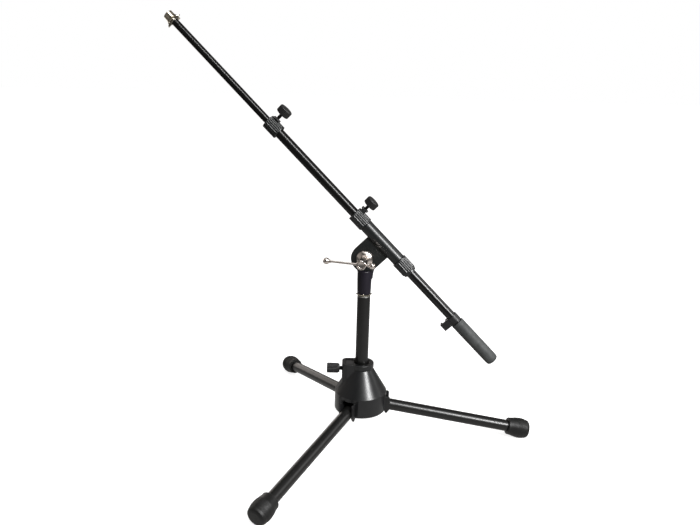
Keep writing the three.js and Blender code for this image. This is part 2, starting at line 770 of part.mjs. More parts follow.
// ---- Assembly ----

const stand = new THREE.Group();
stand.position.x = AXIS_X;
buildBase(stand);
buildLegs(stand);
buildPole(stand);
buildBoom(buildSwivel(stand));

export default stand;
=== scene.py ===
import math

import bmesh
import bpy
from mathutils import Matrix, Vector


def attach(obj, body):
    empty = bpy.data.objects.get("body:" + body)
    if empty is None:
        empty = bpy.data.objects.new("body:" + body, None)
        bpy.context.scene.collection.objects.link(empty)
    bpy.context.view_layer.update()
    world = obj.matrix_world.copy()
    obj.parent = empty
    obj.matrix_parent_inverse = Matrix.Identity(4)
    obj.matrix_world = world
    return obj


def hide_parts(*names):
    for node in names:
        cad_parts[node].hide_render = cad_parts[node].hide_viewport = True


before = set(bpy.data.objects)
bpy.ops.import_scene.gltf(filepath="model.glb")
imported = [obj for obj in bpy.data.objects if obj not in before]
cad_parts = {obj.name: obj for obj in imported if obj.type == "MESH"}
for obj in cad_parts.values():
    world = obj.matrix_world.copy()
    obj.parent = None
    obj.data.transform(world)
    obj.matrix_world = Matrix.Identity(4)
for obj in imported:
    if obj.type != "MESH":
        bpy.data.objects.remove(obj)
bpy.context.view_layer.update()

# ---- Dimensions, in millimetres, shared with the CAD model ----

AXIS_X = 12.7
RING_R = 45.0
RING_BOTTOM = 51.8
RING_TOP = 86.0
CONE_TOP_R = 19.6
COLLAR_R = 21.2
COLLAR_BOTTOM = 128.4
BASE_TOP = 137.8
CAVITY_R = 41
NECK_BOTTOM = 110
NECK_BORE_R = 13
BASE_PLATE_TOP = 55.7
POST_REACH = 30
BOSS_REACH = 33.8
BOSS_WIDTH = 33
LEG_AZIMUTHS = {"front": -120, "right": 0, "rear": 120}
LEG_R = 10
LEG_BORE_R = 8.5
LEG_START = 31
LEG_ROOT_Z = 67.4
FOOT_REACH = 284.5
FOOT_Z = 17.2
LEG_SLOPE = math.atan2(LEG_ROOT_Z - FOOT_Z, FOOT_REACH)
LEG_LENGTH = math.hypot(LEG_ROOT_Z - FOOT_Z, FOOT_REACH)
PIN_REACH = 35.0
PIN_R = 3.0
PIN_Z = LEG_ROOT_Z - PIN_REACH * math.tan(LEG_SLOPE)
CLAMP_Z = 125.3
POLE_R = 11
POLE_BORE_R = 9.5
POLE_ENDS = (60, 257.5)
STUD_R = 4.6
PIVOT_Z = 323.3
SWIVEL_BOTTOM = 262.6
SWIVEL_SHOULDER = 303
SWIVEL_DISC_R = 22.5
SADDLE_R = 24
BARREL_R = 12
BOLT_R = 3.9
BOLT_HOLE_R = 4.3
BOOM_YAW = math.radians(-9.75)
BOOM_TILT = math.radians(44.4)
BOOM_OFFSET = 39.5
BAR_AT = 41.5
BAR_TILT = math.radians(2.5)
BAR_R = 2
LEFT_BALL_AT = -57
RIGHT_BALL_AT = 17.5
FIN_R = 23.5
FIN_HALF_THICKNESS = 4.5
SLEEVE_R = 11
SLEEVE_ENDS = (-39.6, 38.7)
SPIGOT_R = 9.9
SPIGOT_ENDS = (-52, 51)
HOLDER_COLLAR_R = 12.7
UPPER_COLLAR_ENDS = (-66.7, -39.9)
LOWER_COLLAR_ENDS = (-64.5, -39.0)  # without its lip, along the boom turned round
BOOM_COLLAR_R = 11.9
BOOM_COLLAR_ENDS = (-269.3, -242.8)
COLLAR_LIP = 2.5
COLLAR_RIBS = 20
RIB_FLAT = 1.2  # the smooth band at either end of a collar's ribs
OUTER_TUBE_R = 8
OUTER_TUBE_BORE_R = 7
OUTER_TUBE_ENDS = (-256, 188)
INNER_TUBE_R = 6
INNER_TUBE_BORE_R = 5
INNER_TUBE_ENDS = (-480.5, -81)
HOLDER_KNOB_AT = -59.5
HOLDER_KNOB_BOTTOM = 25.5  # from the boom's axis
BOOM_KNOB_AT = -260.5
BOOM_KNOB_BOTTOM = 23.7
KNOB_R = 11.3
CLAMP_SCREW_R = 2.9
SCREW_HOLE_R = 3.3
CLIP_ENDS = (166.4, 179.4)
GRIP_ENDS = (181.2, 270.4)
ADAPTER_ENDS = (-497, -484.9)
ADAPTER_R = 7.95  # the 5/8 inch thread


# ---- Places ----


def moved(x=0.0, y=0.0, z=0.0):
    return Matrix.Translation((x, y, z))


def turned(angle, axis):
    return Matrix.Rotation(angle, 4, axis)


MILLIMETRES = Matrix.Scale(0.001, 4)
STAND = MILLIMETRES @ moved(AXIS_X)
SWIVEL = STAND @ turned(BOOM_YAW, "Z")
PIVOT = SWIVEL @ moved(z=PIVOT_Z)
HOLDER = PIVOT @ turned(BOOM_TILT, "Y")
BOOM = HOLDER @ moved(z=BOOM_OFFSET)
BAR = PIVOT @ moved(y=-BAR_AT) @ turned(BAR_TILT, "Y")
ALONG_X = turned(math.pi / 2, "Y")  # lays what was made along Z along X
FORWARD = turned(math.pi / 2, "X")  # lays what was made along Z towards -Y


def spoke(name):
    return STAND @ turned(math.radians(LEG_AZIMUTHS[name]), "Z")


def leg_place(name):
    return spoke(name) @ moved(z=LEG_ROOT_Z) @ turned(LEG_SLOPE, "Y")


# ---- Shapes: each is a list of points and a list of faces ----


def fillet(profile, radius, steps=5, closed=False):
    """A polyline of (r, z) points with its corners rounded."""
    count = len(profile)
    done = []
    for i, point in enumerate(profile):
        here = Vector(point[:2])
        wanted = point[2] if len(point) > 2 else radius
        if not closed and i in (0, count - 1) or wanted <= 0:
            done.append((here.x, here.y))
            continue
        before = Vector(profile[i - 1][:2]) - here
        after = Vector(profile[(i + 1) % count][:2]) - here
        turn = before.angle(after, math.pi)
        if turn > math.radians(174) or before.length < 1e-6 or after.length < 1e-6:
            done.append((here.x, here.y))
            continue
        reach = min(wanted / math.tan(turn / 2), before.length * 0.48, after.length * 0.48)
        r = reach * math.tan(turn / 2)
        start = here + before.normalized() * reach
        end = here + after.normalized() * reach
        centre = here + (before.normalized() + after.normalized()).normalized() * (r / math.sin(turn / 2))
        a, b = start - centre, end - centre
        sweep = math.atan2(a.x * b.y - a.y * b.x, a.dot(b))
        for k in range(steps + 1):
            t = sweep * k / steps
            c, s = math.cos(t), math.sin(t)
            done.append((centre.x + a.x * c - a.y * s, centre.y + a.x * s + a.y * c))
    return done


def lathe(profile, sides=96, closed=False, radius_at=None):
    """A solid of revolution about Z from an outline that climbs its outer side."""
    points, faces, rows = [], [], []
    for r, z in profile:
        if r < 1e-6 and not closed:
            rows.append([len(points)] * sides)
            points.append((0.0, 0.0, z))
            continue
        rows.append(list(range(len(points), len(points) + sides)))
        for j in range(sides):
            a = 2 * math.pi * j / sides
            rr = radius_at(r, z, a) if radius_at else r
            points.append((rr * math.cos(a), rr * math.sin(a), z))
    pairs = list(zip(rows, rows[1:])) + ([(rows[-1], rows[0])] if closed else [])
    for low, high in pairs:
        for j in range(sides):
            k = (j + 1) % sides
            face = []
            for v in (low[j], low[k], high[k], high[j]):
                if v not in face:
                    face.append(v)
            if len(face) > 2:
                faces.append(face)
    return points, faces


def pipe(outer, inner, low, high, sides=96, edge=0.3):
    outline = [(inner, low), (outer, low), (outer, high), (inner, high)]
    return lathe(fillet(outline, edge, closed=True), sides, closed=True)


def rod(radius, low, high, sides=64, edge=0.3):
    return lathe(fillet([(0, low), (radius, low), (radius, high), (0, high)], edge), sides)


def inset(outline, distance):
    """An anticlockwise outline moved inwards."""
    done = []
    count = len(outline)
    for i, (x, y) in enumerate(outline):
        ax, ay = outline[i - 1]
        bx, by = outline[(i + 1) % count]
        before = Vector((x - ax, y - ay)).normalized()
        after = Vector((bx - x, by - y)).normalized()
        normal = Vector((-before.y - after.y, before.x + after.x))
        if normal.length < 1e-6:
            normal = Vector((-before.y, before.x))
        normal.normalize()
        cosine = max(0.35, normal.dot(Vector((-before.y, before.x))))
        done.append((x + normal.x * distance / cosine, y + normal.y * distance / cosine))
    return done


def prism(outline, low, high, edge=0.4, steps=4):
    """An outline in X and Y extruded along Z, with rounded edges."""
    rings = [(edge * (1 - math.sin(a)), low + edge * (1 - math.cos(a)))
             for a in (math.pi / 2 * k / steps for k in range(steps + 1))]
    rings += [(d, low + high - z) for d, z in reversed(rings)]
    points, faces = [], []
    count = len(outline)
    for distance, z in rings:
        points += [(x, y, z) for x, y in inset(outline, distance)]
    for r in range(len(rings) - 1):
        for i in range(count):
            k = (i + 1) % count
            faces.append([r * count + i, r * count + k, (r + 1) * count + k, (r + 1) * count + i])
    faces.append(list(reversed(range(count))))
    faces.append([(len(rings) - 1) * count + i for i in range(count)])
    return points, faces


def arc(cx, cy, radius, start, end, steps=12):
    """Points of an arc, with its angles in degrees."""
    angles = [math.radians(start + (end - start) * k / steps) for k in range(steps + 1)]
    return [(cx + radius * math.cos(a), cy + radius * math.sin(a)) for a in angles]


def box_outline(x0, y0, x1, y1, corner=0.0, steps=6):
    corners = [(x0, y0), (x1, y0), (x1, y1), (x0, y1)]
    return fillet(corners, corner, steps, closed=True) if corner else corners


def thread_radius(pitch, depth):
    """Cuts a helical thread of this pitch into a lathed radius."""
    def radius_at(r, z, a):
        phase = (z / pitch - a / (2 * math.pi)) % 1
        return r - depth * abs(2 * phase - 1)
    return radius_at


def threaded_rod(radius, low, high, pitch, depth, sides=48):
    rows = int((high - low) / pitch * 6)
    outline = [(0, low), (radius - 0.8, low)]
    outline += [(radius, low + 0.5 + (high - low - 1) * k / rows) for k in range(rows + 1)]
    outline += [(radius - 0.8, high), (0, high)]
    cut = thread_radius(pitch, depth)
    return lathe(outline, sides, radius_at=lambda r, z, a: cut(r, z, a) if r > radius - 0.4 else r)


def placed(shape, matrix):
    return [tuple(matrix @ Vector(p)) for p in shape[0]], shape[1]


# ---- Meshes ----


def mesh_object(name, shape, matrix=Matrix.Identity(4)):
    mesh = bpy.data.meshes.new(name)
    mesh.from_pydata([matrix @ Vector(p) for p in shape[0]], [], shape[1])
    mesh.validate()
    made = bpy.data.objects.new(name, mesh)
    bpy.context.scene.collection.objects.link(made)
    outwards = bmesh.new()
    outwards.from_mesh(mesh)
    bmesh.ops.recalc_face_normals(outwards, faces=outwards.faces)
    outwards.to_mesh(mesh)
    outwards.free()
    return made


def applied(made):
    """The object with its modifiers worked into its mesh."""
    graph = bpy.context.evaluated_depsgraph_get()
    graph.update()
    mesh = bpy.data.meshes.new_from_object(made.evaluated_get(graph))
    old = made.data
    made.modifiers.clear()
    made.data = mesh
    mesh.name = made.name
    bpy.data.meshes.remove(old)
    return made


def combine(shape, operations):
    """Joins shapes to a shape or cuts them from it, in millimetres, as [(how, shape), ...]."""
    whole = mesh_object("combined", shape)
    for how, tool_shape in operations:
        tool = mesh_object("tool", tool_shape)
        boolean = whole.modifiers.new("boolean", "BOOLEAN")
        boolean.operation = how
        boolean.solver = "EXACT"
        boolean.object = tool
        applied(whole)
        bpy.data.objects.remove(tool, do_unlink=True)
    points = [tuple(v.co) for v in whole.data.vertices]
    faces = [list(f.vertices) for f in whole.data.polygons]
    bpy.data.objects.remove(whole, do_unlink=True)
    return points, faces


def piece(name, body, shape, place, material, nodes, bevel=0.0, sharp=38):
    """Makes a piece that stands for CAD nodes; bevel is in millimetres and sharp in degrees."""
    made = mesh_object(name, shape, place)
    if bevel:
        edges = made.modifiers.new("edges", "BEVEL")
        edges.width = bevel / 1000
        edges.segments = 3
        edges.limit_method = "ANGLE"
        edges.angle_limit = math.radians(sharp)
        edges.use_clamp_overlap = True
        applied(made)
    made.data.shade_smooth()
    made.data.set_sharp_from_angle(angle=math.radians(sharp))
    even = made.modifiers.new("even", "WEIGHTED_NORMAL")
    even.keep_sharp = True
    made.data.materials.clear()
    made.data.materials.append(material)
    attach(made, body)
    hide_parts(*nodes)


# ---- Materials ----


def new_material(name):
    material = bpy.data.materials.new(name)
    material.use_nodes = True
    nodes = material.node_tree.nodes
    nodes.clear()
    output = nodes.new("ShaderNodeOutputMaterial")
    shader = nodes.new("ShaderNodeBsdfPrincipled")
    material.node_tree.links.new(shader.outputs["BSDF"], output.inputs["Surface"])
    return material, shader


def noise(material, scale, detail=4.0):
    """A noise texture in the object's own coordinates, in metres."""
    nodes, links = material.node_tree.nodes, material.node_tree.links
    coordinates = nodes.new("ShaderNodeTexCoord")
    texture = nodes.new("ShaderNodeTexNoise")
    texture.inputs["Scale"].default_value = scale
    texture.inputs["Detail"].default_value = detail
    texture.inputs["Roughness"].default_value = 0.55
    links.new(coordinates.outputs["Object"], texture.inputs["Vector"])
    return texture.outputs["Fac"]


def remap(owner, value, low, high, from_low=0.3, from_high=0.7):
    """Maps a value in a material's or the world's nodes from one range to another."""
    node = owner.node_tree.nodes.new("ShaderNodeMapRange")
    node.inputs["From Min"].default_value = from_low
    node.inputs["From Max"].default_value = from_high
    node.inputs["To Min"].default_value = low
    node.inputs["To Max"].default_value = high
    owner.node_tree.links.new(value, node.inputs["Value"])
    return node.outputs["Result"]


def blend_colours(material, factor, first, second):
    node = material.node_tree.nodes.new("ShaderNodeMix")
    node.data_type = "RGBA"
    node.inputs["A"].default_value = (*first, 1)
    node.inputs["B"].default_value = (*second, 1)
    material.node_tree.links.new(factor, node.inputs["Factor"])
    return node.outputs["Result"]


def bumped(material, shader, heights):
    """Chains bumps from [(height, distance in mm, strength), ...] onto the shader."""
    nodes, links = material.node_tree.nodes, material.node_tree.links
    previous = None
    for height, distance, strength in heights:
        bump = nodes.new("ShaderNodeBump")
        bump.inputs["Distance"].default_value = distance / 1000
        bump.inputs["Strength"].default_value = strength
        links.new(height, bump.inputs["Height"])
        if previous:
            links.new(previous, bump.inputs["Normal"])
        previous = bump.outputs["Normal"]
    links.new(previous, shader.inputs["Normal"])


def surface(name, colours, roughness, grain, metallic=0.0, specular=0.5, sheen=0.0):
    """A finish with blotches of two colours, a band of roughness and layers of grain.

    grain is [(noise scale, bump in mm, strength), ...], from coarse to fine.
    """
    material, shader = new_material(name)
    links = material.node_tree.links
    blotch = remap(material, noise(material, 60, 5), 0, 1)
    links.new(blend_colours(material, blotch, *colours), shader.inputs["Base Color"])
    links.new(remap(material, noise(material, 140, 6), *roughness), shader.inputs["Roughness"])
    shader.inputs["Metallic"].default_value = metallic
    shader.inputs["Specular IOR Level"].default_value = specular
    if sheen:
        shader.inputs["Sheen Weight"].default_value = sheen
        shader.inputs["Sheen Roughness"].default_value = 0.5
    heights = [(noise(material, scale, 3), depth, strength) for scale, depth, strength in grain]
    bumped(material, shader, heights)
    return material


cast_black = surface(
    "cast_black", ((0.0045, 0.0048, 0.0052), (0.0065, 0.0068, 0.0074)), (0.29, 0.33),
    [(900, 0.03, 0.2), (3500, 0.012, 0.25)], specular=0.45,
)
holder_black = surface(
    "holder_black", ((0.0055, 0.0065, 0.0065), (0.008, 0.009, 0.009)), (0.33, 0.37),
    [(1200, 0.012, 0.15), (4200, 0.006, 0.2)], specular=0.45,
)
gloss_black = surface(
    "gloss_black", ((0.0018, 0.0018, 0.0018), (0.0030, 0.0030, 0.0030)), (0.25, 0.27),
    [(900, 0.004, 0.05), (3600, 0.002, 0.08)], specular=0.36,
)
leg_black = surface(
    "leg_black", ((0.0035, 0.0035, 0.0034), (0.0055, 0.0055, 0.0053)), (0.29, 0.34),
    [(700, 0.015, 0.15), (3200, 0.008, 0.25)], specular=0.45,
)
barrel_black = surface(
    "barrel_black", ((0.0055, 0.0045, 0.0085), (0.0085, 0.007, 0.012)), (0.36, 0.44),
    [(1300, 0.03, 0.3), (4200, 0.012, 0.35)], specular=0.3,
)
plastic_black = surface(
    "plastic_black", ((0.0045, 0.0045, 0.0048), (0.008, 0.008, 0.0085)), (0.38, 0.46),
    [(1500, 0.04, 0.35), (5200, 0.015, 0.4)], specular=0.38,
)
collar_grey = surface(
    "collar_grey", ((0.008, 0.009, 0.009), (0.013, 0.014, 0.014)), (0.30, 0.36),
    [(1800, 0.02, 0.25), (5200, 0.012, 0.35)], specular=0.5,
)
foot_rubber = surface(
    "foot_rubber", ((0.0035, 0.0035, 0.0035), (0.006, 0.006, 0.0058)), (0.42, 0.5),
    [(1200, 0.05, 0.35), (4800, 0.02, 0.5)], specular=0.28, sheen=0.02,
)
grip_rubber = surface(
    "grip_rubber", ((0.018, 0.020, 0.020), (0.045, 0.048, 0.048)), (0.5, 0.66),
    [(1400, 0.2, 0.8), (3600, 0.1, 0.9)], specular=0.35, sheen=0.08,
)
chrome = surface(
    "chrome", ((0.80, 0.74, 0.69), (0.72, 0.65, 0.60)), (0.17, 0.21),
    [(300, 0.01, 0.06), (5200, 0.003, 0.12)], metallic=1.0,
)
nickel = surface(
    "nickel", ((0.78, 0.72, 0.58), (0.62, 0.57, 0.46)), (0.17, 0.23),
    [(900, 0.01, 0.12), (4200, 0.006, 0.2)], metallic=1.0,
)
zinc = surface(
    "zinc", ((0.42, 0.42, 0.41), (0.30, 0.30, 0.29)), (0.24, 0.42),
    [(1500, 0.02, 0.3), (5200, 0.01, 0.3)], metallic=1.0,
)
black_steel = surface(
    "black_steel", ((0.010, 0.010, 0.011), (0.016, 0.016, 0.017)), (0.30, 0.38),
    [(1500, 0.02, 0.3), (5200, 0.01, 0.3)], specular=0.6,
)
fibre = surface(
    "fibre", ((0.05, 0.045, 0.04), (0.09, 0.08, 0.07)), (0.7, 0.85),
    [(2600, 0.06, 0.6), (6500, 0.03, 0.6)],
)

# ---- Base ----


def base_casting():
    outside = fillet(
        [
            (0, RING_BOTTOM),
            (RING_R, RING_BOTTOM, 3.0),
            (RING_R, RING_TOP, 1.2),
            (CONE_TOP_R, COLLAR_BOTTOM, 1.5),
            (COLLAR_R, 129.9, 0.5),
            (COLLAR_R, BASE_TOP, 1.2),
            (0, BASE_TOP),
        ],
        0.5,
    )
    boss = prism(box_outline(-BOSS_REACH, -BOSS_WIDTH / 2, 0, BOSS_WIDTH / 2, 9.5, 12), 96, BASE_TOP, 1.2)
    cavity = lathe([(0, 50), (CAVITY_R, 50), (CAVITY_R, 83), (24, NECK_BOTTOM), (0, NECK_BOTTOM)], 144)
    neck = [(0, 109), (NECK_BORE_R, 109), (NECK_BORE_R, 136.3), (15.3, 136.3), (15.3, 140), (0, 140)]
    neck = lathe(neck, 96)
    pocket = prism(box_outline(-28, -9, -14.6, 9, 1.2), 118, 141, 0)
    screw_hole = placed(rod(4.3, -34.8, -12, edge=0), moved(z=CLAMP_Z) @ ALONG_X)
    steps = [("UNION", boss), ("DIFFERENCE", cavity)]
    for name, degrees in LEG_AZIMUTHS.items():
        turn = turned(math.radians(degrees), "Z")
        for side in (-1, 1):
            y0, y1 = sorted((side * 13.7, side * 18.7))
            rib = prism(box_outline(24, y0, 43, y1), 56, 84, 0)
            steps.append(("UNION", placed(rib, turn)))
        slot = prism(box_outline(18, -13.7, 55, 13.7), 46.8, 80, 0)
        steps.append(("DIFFERENCE", placed(slot, turn)))
        pin = placed(rod(3.3, -20, 20, 32, 0), moved(PIN_REACH, 0, PIN_Z) @ FORWARD)
        steps.append(("DIFFERENCE", placed(pin, turn)))
        post = placed(rod(4.5, 56, 97, 48, 0), turn @ moved(-POST_REACH))
        steps.append(("UNION", post))
        hole = placed(rod(1.9, 54.7, 74, 32, 0), turn @ moved(-POST_REACH))
        steps.append(("DIFFERENCE", hole))
    steps += [("DIFFERENCE", neck), ("DIFFERENCE", pocket), ("DIFFERENCE", screw_hole)]
    return combine(lathe(outside, 144), steps)


def fluted(waves, depth):
    """A radius with rounded flutes all round."""
    return lambda r, z, a: r - depth * (0.5 - 0.5 * math.cos(waves * a)) ** 1.6


def only_outside(limit, change):
    """Applies a change of radius only to what lies outside the limit."""
    return lambda r, z, a: change(r, z, a) if r > limit else r


def build_base():
    piece("base_casting_fine", "base", base_casting(), STAND, cast_black,
          ["base_casting"], bevel=0.35)

    bush = [(11.35, 110.5), (12.7, 110.5), (12.7, 136.6), (14.9, 136.6), (14.9, 137.5), (14.2, 137.5),
            (13.3, 137.0), (12.3, 133.0), (11.35, 131.5)]
    piece("pole_bush_fine", "base", lathe(fillet(bush, 0.2, closed=True), closed=True), STAND,
          plastic_black, ["pole_bush"])

    nut = prism(box_outline(-8.7, -9.25, 8.7, 9.25, 1.4), 0, 12.8, 0.8)
    nut = combine(nut, [("DIFFERENCE", placed(rod(4.0, -2, 15, 48, 0), moved(y=-2.4)))])
    nut_place = STAND @ moved(-27.7, 0, 127.55) @ turned(math.pi / 2, "Z") @ turned(math.pi / 2, "X")
    piece("base_clamp_nut_fine", "base", nut, nut_place, black_steel,
          ["base_clamp_nut"])

    clamp = STAND @ moved(z=CLAMP_Z) @ turned(-math.pi / 2, "Y")
    piece("base_clamp_screw_fine", "base_knob", threaded_rod(3.8, 16.3, 51.7, 1.25, 0.55), clamp,
          black_steel, ["base_clamp_screw"])
    knob = [(4.1, 52), (4.1, 37.9), (7.7, 37.9, 0.6), (7.7, 40.6, 0.2), (8.6, 40.9, 0.4), (8.6, 59.8, 0.9),
            (0, 59.8)]
    knob = lathe([(0, 52)] + fillet(knob, 0.3), 192, radius_at=only_outside(7.9, fluted(18, 0.7)))
    piece("base_knob_fine", "base_knob", knob, clamp, plastic_black, ["base_knob"])

    cheek = [(19, 52.2), (41, 52.2), (44, 47.5), (46.5, 47.5), (51, 54), (51, 78), (44, 78), (43, 79.7),
             (19, 79.7)]
    radii = {(51, 78): 2.5, (51, 54): 2.5, (46.5, 47.5): 0.9, (44, 47.5): 0.9}
    cheek = fillet([(*p, radii.get(p, 0.5)) for p in cheek], 0.5, closed=True)
    for name in LEG_AZIMUTHS:
        sides = [placed(prism(cheek, low, high, 0.45), turned(math.pi / 2, "X")) for low, high in
                 ((-13.4, -10.4), (10.4, 13.4))]
        web = prism(box_outline(19.2, -11, 24.8, 11, 0.5), 52.3, 55.5, 0.3)
        hole = placed(rod(3.3, -20, 20, 32, 0), moved(PIN_REACH, 0, PIN_Z) @ FORWARD)
        bracket = combine(sides[0], [("UNION", web), ("UNION", sides[1]), ("DIFFERENCE", hole)])
        piece(f"leg_bracket_{name}_fine", "base", bracket, spoke(name), plastic_black,
              [f"leg_bracket_{name}"])
        pin = placed(rod(PIN_R, -18, 18, 48, 0.5), moved(PIN_REACH, 0, PIN_Z) @ FORWARD)
        piece(f"leg_pin_{name}_fine", "base", pin, spoke(name), zinc, [f"leg_pin_{name}"])
        head = [(0, 52.3), (2.6, 52.3, 0.8), (3.9, 53.4, 0.3), (3.9, 53.9), (1.6, 53.9), (1.6, 70, 0.4),
                (0, 70)]
        recess = [prism(box_outline(-2.2, -0.45, 2.2, 0.45), 51, 53.3, 0),
                  prism(box_outline(-0.45, -2.2, 0.45, 2.2), 51, 53.3, 0)]
        screw = combine(lathe(fillet(head, 0.2), 48), [("DIFFERENCE", r) for r in recess])
        piece(f"base_plate_screw_{name}_fine", "base", screw, spoke(name) @ moved(-POST_REACH), zinc,
              [f"base_plate_screw_{name}"])

    notches = [placed(prism(box_outline(18.6, -14, 50, 14), 50, 60, 0), turned(math.radians(d), "Z"))
               for d in LEG_AZIMUTHS.values()]
    holes = [placed(lathe([(0, 50), (4.3, 50), (4.3, 54.2), (2.2, 54.2), (2.2, 60), (0, 60)], 48),
                    turned(math.radians(d), "Z") @ moved(-POST_REACH)) for d in LEG_AZIMUTHS.values()]
    plate = combine(rod(40.6, 52.2, BASE_PLATE_TOP, 144, 0.4), [("DIFFERENCE", t) for t in notches + holes])
    piece("base_plate_fine", "base", plate, STAND, cast_black, ["base_plate"], bevel=0.2)


# ---- Legs ----


def foot_shape():
    """A swollen rubber cap with fine rings round it, its rows measured from the leg's end."""
    outline = [(10.3, LEG_LENGTH + 4.5), (10.3, LEG_LENGTH - 22)]
    body = [(-22.0, 14.2), (-21.0, 14.9), (-19.0, 14.9), (-14, 15.6), (-8, 16.8), (-2, 17.55), (4, 17.3),
            (10.2, 16.1)]
    ring_depth, ring_pitch = 0.28, 1.4
    ends = [(11.3, 15.7), (13.6, 14.8), (15.2, 12.9), (16.1, 10.2), (16.3, 0)]
    smooth = []
    for (s0, r0), (s1, r1) in zip(body, body[1:]):
        steps = max(1, int((s1 - s0) / 0.28))
        for k in range(steps):
            t = k / steps
            smooth.append((s0 + (s1 - s0) * t, r0 + (r1 - r0) * t))
    smooth.append(body[-1])
    for s, r in smooth:
        ring = ring_depth * (0.5 - 0.5 * math.cos(2 * math.pi * s / ring_pitch)) if -7 < s < 9.8 else 0
        swell = 0.18 * math.sin(math.pi * min(1, max(0, (s + 19) / 29)))
        outline.append((r + swell - ring - 0.1, LEG_LENGTH + s))
    outline += [(r, LEG_LENGTH + s) for s, r in fillet(ends, 1.2)]
    return [(0, LEG_LENGTH + 4.5)] + outline


def build_legs():
    for name in LEG_AZIMUTHS:
        body, place = f"leg_{name}", leg_place(name)
        tube = placed(pipe(LEG_R, LEG_BORE_R, LEG_START, LEG_LENGTH + 4, 128), ALONG_X)
        pin_hole = placed(rod(3.6, -15, 15, 32, 0), moved(PIN_REACH / math.cos(LEG_SLOPE)) @ FORWARD)
        tube = combine(tube, [("DIFFERENCE", pin_hole)])
        piece(f"leg_tube_{name}_fine", body, tube, place, leg_black, [f"leg_tube_{name}"])

        heel = prism(box_outline(20.2, -8.2, 30.7, 8.2, 2.5), -7, 7, 1.2)
        plug = placed(rod(8.2, 29, 60, 64, 0.4), ALONG_X)
        hole = placed(rod(3.3, -15, 15, 32, 0), moved(PIN_REACH / math.cos(LEG_SLOPE)) @ FORWARD)
        end = combine(heel, [("UNION", plug), ("DIFFERENCE", hole)])
        piece(f"leg_end_{name}_fine", body, end, place, plastic_black, [f"leg_end_{name}"])

        foot = placed(lathe(foot_shape(), 96), ALONG_X)
        floor = prism([(200, -40), (340, -40), (340, 40), (200, 40)], -30, 0, 0)
        floor = placed(floor, turned(-LEG_SLOPE, "Y") @ moved(z=-LEG_ROOT_Z))
        foot = combine(foot, [("DIFFERENCE", floor)])
        piece(f"foot_{name}_fine", body, foot, place, foot_rubber, [f"foot_{name}"])


# ---- Pole ----


def star_nut(low):
    """A pressed nut with six lobes whose tips bend up from a flat middle."""
    rows = [(5.0, 0), (7.5, 0), (9.5, 0), (11.0, 0.1), (12.2, 0.4), (13.1, 0.9), (13.7, 1.5)]
    thickness = 1.1
    outline = [(r, low + z) for r, z in rows] + [(r, low + z + thickness) for r, z in reversed(rows)]
    outline = fillet(outline, 0.25, 3, closed=True)

    def radius_at(r, z, a):
        if r < 5.2:
            return r
        return r - (r - 5) * 0.42 * (0.5 - 0.5 * math.cos(6 * a)) ** 0.7

    points, faces = lathe(outline, 144, closed=True, radius_at=radius_at)
    lifted = []
    for x, y, z in points:
        a, r = math.atan2(y, x), math.hypot(x, y)
        wave = max(0.0, (r - 8) / 5.7) * 0.9 * math.cos(6 * a)
        lifted.append((x, y, z + wave))
    return lifted, faces


def build_pole():
    tube = pipe(POLE_R, POLE_BORE_R, *POLE_ENDS, 128, 0.5)
    piece("pole_tube_fine", "pole", tube, STAND, leg_black, ["pole_tube"])
    stud = [(0, 238), (9.2, 238), (9.2, 257.8), (POLE_R, 257.8, 0.3), (POLE_R, 259.2, 0.5), (STUD_R, 259.2),
            (STUD_R, 279, 0.5), (0, 279)]
    piece("pole_stud_fine", "pole", lathe(fillet(stud, 0.2)), STAND, zinc, ["pole_stud"])
    piece("pole_star_nut_fine", "pole_star_nut", star_nut(259.7), STAND, nickel, ["pole_star_nut"])


# ---- Swivel mount and clamp bolt ----


def hexagonal(across):
    """A radius that follows a hexagon of this size across its flats."""
    def radius_at(r, z, a):
        part = (a + math.pi / 6) % (math.pi / 3) - math.pi / 6
        return min(r, across / 2 / math.cos(part))
    return radius_at


def build_swivel():
    barrel = [(0, 281.5), (5.2, 281.5), (5.2, SWIVEL_BOTTOM), (11.1, SWIVEL_BOTTOM, 0.4), (11.4, 265),
              (11.9, 285), (BARREL_R, 291), (BARREL_R, SWIVEL_SHOULDER, 1.5), (0, SWIVEL_SHOULDER)]
    barrel = fillet(barrel, 0.3)
    rim_start, rim_end = -30, 210
    meet = math.radians(rim_end)
    mx, mz = SWIVEL_DISC_R * math.cos(meet), PIVOT_Z + SWIVEL_DISC_R * math.sin(meet)

    def curve(sign):
        """The flare from the barrel out to the disc's rim, on one side."""
        points = []
        for k in range(13):
            t = k / 12
            x = (1 - t) ** 2 * -12 + 2 * t * (1 - t) * -12 + t * t * mx
            z = (1 - t) ** 2 * 286 + 2 * t * (1 - t) * 300 + t * t * mz
            points.append((-sign * x, z))
        return points

    rim = arc(0, PIVOT_Z, SWIVEL_DISC_R, rim_start, rim_end, 60)
    outline = curve(1)[:-1] + rim + list(reversed(curve(-1)[:-1]))
    disc = placed(prism(outline, 6, 17, 1.2), FORWARD)
    disc = [(x, -y, z) for x, y, z in disc[0]], disc[1]
    bolt_hole = placed(rod(BOLT_HOLE_R, -25, 5, 48, 0), moved(z=PIVOT_Z) @ FORWARD)
    saddle = placed(rod(SADDLE_R, -5.9, 5.2, 192, 0), moved(z=PIVOT_Z) @ FORWARD)
    mount = combine(lathe(barrel, 128), [("UNION", disc), ("DIFFERENCE", saddle), ("DIFFERENCE", bolt_hole)])
    piece("swivel_mount_fine", "swivel", mount, SWIVEL, barrel_black, ["swivel_mount"],
          bevel=0.8)
    washer = pipe(20, BOLT_HOLE_R, -5.7, -4.8, 96, 0.2)
    piece("friction_washer_fine", "swivel", washer, PIVOT @ FORWARD, fibre, ["friction_washer"])


